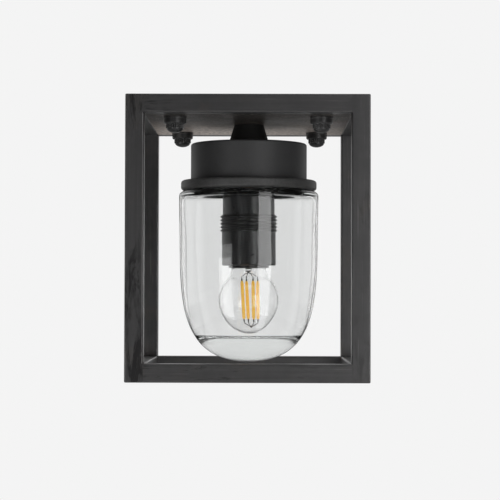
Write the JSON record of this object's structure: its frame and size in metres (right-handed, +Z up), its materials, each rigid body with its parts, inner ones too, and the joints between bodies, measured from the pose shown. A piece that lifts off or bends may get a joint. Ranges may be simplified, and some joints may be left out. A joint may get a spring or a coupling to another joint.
{
  "type": "porch ceiling lantern",
  "caption": "Open cube cage of square steel tube hung from a ceiling bracket, with a screw-in clear glass jar round a filament bulb.",
  "frame": {"origin": "centre of the ceiling face, where the bracket and the cage meet the ceiling", "axes": "+Z up into the ceiling, -Y the front seen in the picture, +X to the right seen from the front"},
  "size_m": [0.17, 0.18, 0.2],
  "materials": {
    "cage_steel": "worn dark grey",
    "plate_steel": "dull",
    "zinc_steel": "zinc plated",
    "black_metal": "satin black",
    "housing_metal": "satin dark grey",
    "collar_metal": "rough dark cast metal",
    "brass": "satin",
    "seal_rubber": "matt",
    "jar_glass": "clear",
    "holder_plastic": "satin black",
    "ceramic": "matt",
    "nickel": "nickel plated",
    "black_glass": "opaque black",
    "bulb_glass": "clear",
    "wire": "dull",
    "filament": "amber coating",
    "block_plastic": "matt",
    "brown_wire": "matt",
    "blue_wire": "matt",
    "green_wire": "matt"
  },
  "bodies": {
    "lantern": {"post_front_left": "cage_steel", "post_front_right": "cage_steel", "post_rear_left": "cage_steel", "post_rear_right": "cage_steel", "top_rail_front": "cage_steel", "top_rail_rear": "cage_steel", "top_rail_left": "cage_steel", "top_rail_right": "cage_steel", "bottom_rail_front": "cage_steel", "bottom_rail_rear": "cage_steel", "bottom_rail_left": "cage_steel", "bottom_rail_right": "cage_steel", "top_plate": "plate_steel", "ceiling_bracket": "zinc_steel", "ceiling_studs": "zinc_steel", "nut_washers": "black_metal", "cap_nuts": "black_metal", "neck": "housing_metal", "nipple": "brass", "lock_nuts": "brass", "housing": "housing_metal", "glass_collar": "collar_metal", "bridge_disc": "zinc_steel", "bridge_screws": "zinc_steel", "holder_cap": "holder_plastic", "holder_skirt": "holder_plastic", "holder_insert": "ceramic", "holder_shell": "brass", "centre_contact": "brass", "side_contact": "brass", "terminal_screws": "nickel", "terminal_block": "block_plastic", "block_screws": "nickel", "live_lead": "brown_wire", "neutral_lead": "blue_wire", "earth_lead": "green_wire", "earth_screw": "brass"},
    "seal": {"glass_seal": "seal_rubber"},
    "glass": {"glass_jar": "jar_glass"},
    "bulb_contact": {"bulb_tip": "nickel"},
    "bulb": {"bulb_insulator": "black_glass", "bulb_base": "nickel", "bulb_envelope": "bulb_glass", "bulb_stem": "bulb_glass", "support_wires": "wire", "filaments": "filament"}
  },
  "joints": [
    {"name": "glass_turn", "type": "hinge", "parent": "seal", "child": "glass", "pos_m": [0, 0, -0.06], "axis": [0, 0, -1], "range_deg": [0, 540]},
    {"name": "glass_drop", "type": "slide", "parent": "lantern", "child": "seal", "axis": [0, 0, -1], "range_m": [0, 0.00749]},
    {"name": "bulb_turn", "type": "hinge", "parent": "bulb_contact", "child": "bulb", "pos_m": [0, 0, -0.1], "axis": [0, 0, -1], "range_deg": [0, 450]},
    {"name": "bulb_drop", "type": "slide", "parent": "lantern", "child": "bulb_contact", "axis": [0, 0, -1], "range_m": [0, 0.00453]}
  ],
  "couplings": [
    {"joint": "glass_turn", "follows": "glass_drop", "rad_per_m": 1256.6},
    {"joint": "bulb_turn", "follows": "bulb_drop", "rad_per_m": 1731.4}
  ]
}
